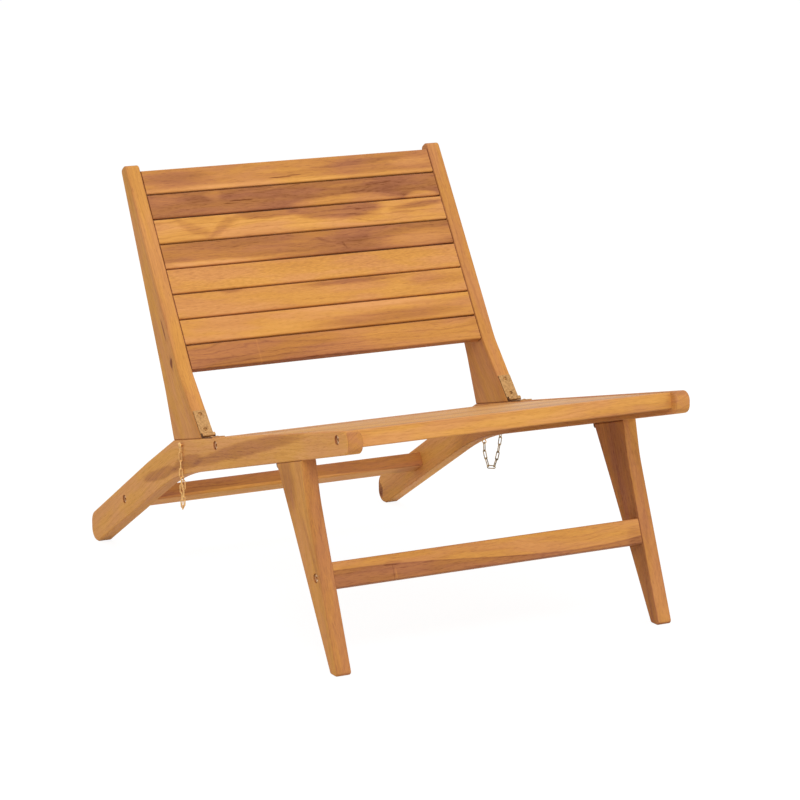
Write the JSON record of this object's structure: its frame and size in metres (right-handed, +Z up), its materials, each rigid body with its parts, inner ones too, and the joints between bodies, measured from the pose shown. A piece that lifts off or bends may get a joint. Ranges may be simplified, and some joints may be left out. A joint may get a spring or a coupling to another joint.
{
  "type": "folding slatted garden chair",
  "caption": "Low folding hardwood lounge chair: long slatted seat on bent side rails, reclined slatted back and front legs on brass hinges, with side chains.",
  "frame": {"origin": "on the floor, under the middle of the chair's box", "axes": "+Z up, the sitter faces -Y, +X towards the right side seen from the front"},
  "size_m": [0.5748, 0.95, 0.6425],
  "materials": {
    "rail_wood": "oiled, satin",
    "stile_wood": "oiled, satin",
    "back_slat_wood": "oiled, satin",
    "seat_wood": "oiled, satin",
    "leg_wood": "oiled, satin",
    "stretcher_wood": "oiled, satin",
    "hinge_brass": "rolled and polished",
    "screw_brass": "polished",
    "chain_brass": "tarnished",
    "bolt_metal": "turned"
  },
  "bodies": {
    "seat_frame": {"side_rail_left": "rail_wood", "side_rail_right": "rail_wood", "seat_front_rail": "seat_wood", "seat_rear_rail": "seat_wood", "seat_slat_1": "seat_wood", "seat_slat_2": "seat_wood", "seat_slat_3": "seat_wood", "seat_slat_4": "seat_wood", "seat_slat_5": "seat_wood", "seat_slat_6": "seat_wood", "seat_slat_7": "seat_wood", "seat_slat_8": "seat_wood", "seat_slat_9": "seat_wood", "seat_slat_10": "seat_wood", "rear_stretcher": "stretcher_wood", "frame_bolts": "bolt_metal", "frame_nuts": "bolt_metal", "chain_left": "chain_brass", "chain_right": "chain_brass", "chain_screws": "chain_brass", "chain_eyes": "chain_brass", "back_hinge_rail_leaf_left": "hinge_brass", "back_hinge_rail_leaf_right": "hinge_brass", "leg_hinge_rail_leaf_left": "hinge_brass", "leg_hinge_rail_leaf_right": "hinge_brass", "rail_hinge_screws": "screw_brass"},
    "backrest": {"back_stile_left": "stile_wood", "back_stile_right": "stile_wood", "back_slat_1": "back_slat_wood", "back_slat_2": "back_slat_wood", "back_slat_3": "back_slat_wood", "back_slat_4": "back_slat_wood", "back_slat_5": "back_slat_wood", "back_slat_6": "back_slat_wood", "back_slat_7": "back_slat_wood", "back_slat_8": "back_slat_wood", "back_hinge_stile_leaf_left": "hinge_brass", "back_hinge_stile_leaf_right": "hinge_brass", "back_hinge_pin_left": "hinge_brass", "back_hinge_pin_right": "hinge_brass", "stile_hinge_screws": "screw_brass"},
    "leg_frame": {"front_leg_left": "leg_wood", "front_leg_right": "leg_wood", "front_stretcher": "stretcher_wood", "leg_bolts": "bolt_metal", "leg_nuts": "bolt_metal", "leg_hinge_leg_leaf_left": "hinge_brass", "leg_hinge_leg_leaf_right": "hinge_brass", "leg_hinge_pin_left": "hinge_brass", "leg_hinge_pin_right": "hinge_brass", "leg_hinge_screws": "screw_brass"}
  },
  "joints": [
    {"name": "backrest_fold", "type": "hinge", "parent": "seat_frame", "child": "backrest", "pos_m": [0, 0.02092, 0.26222], "axis": [1, 0, 0], "range_deg": [0, 112]},
    {"name": "leg_fold", "type": "hinge", "parent": "seat_frame", "child": "leg_frame", "pos_m": [0, -0.24158, 0.26893], "axis": [1, 0, 0], "range_deg": [0, 106]}
  ]
}
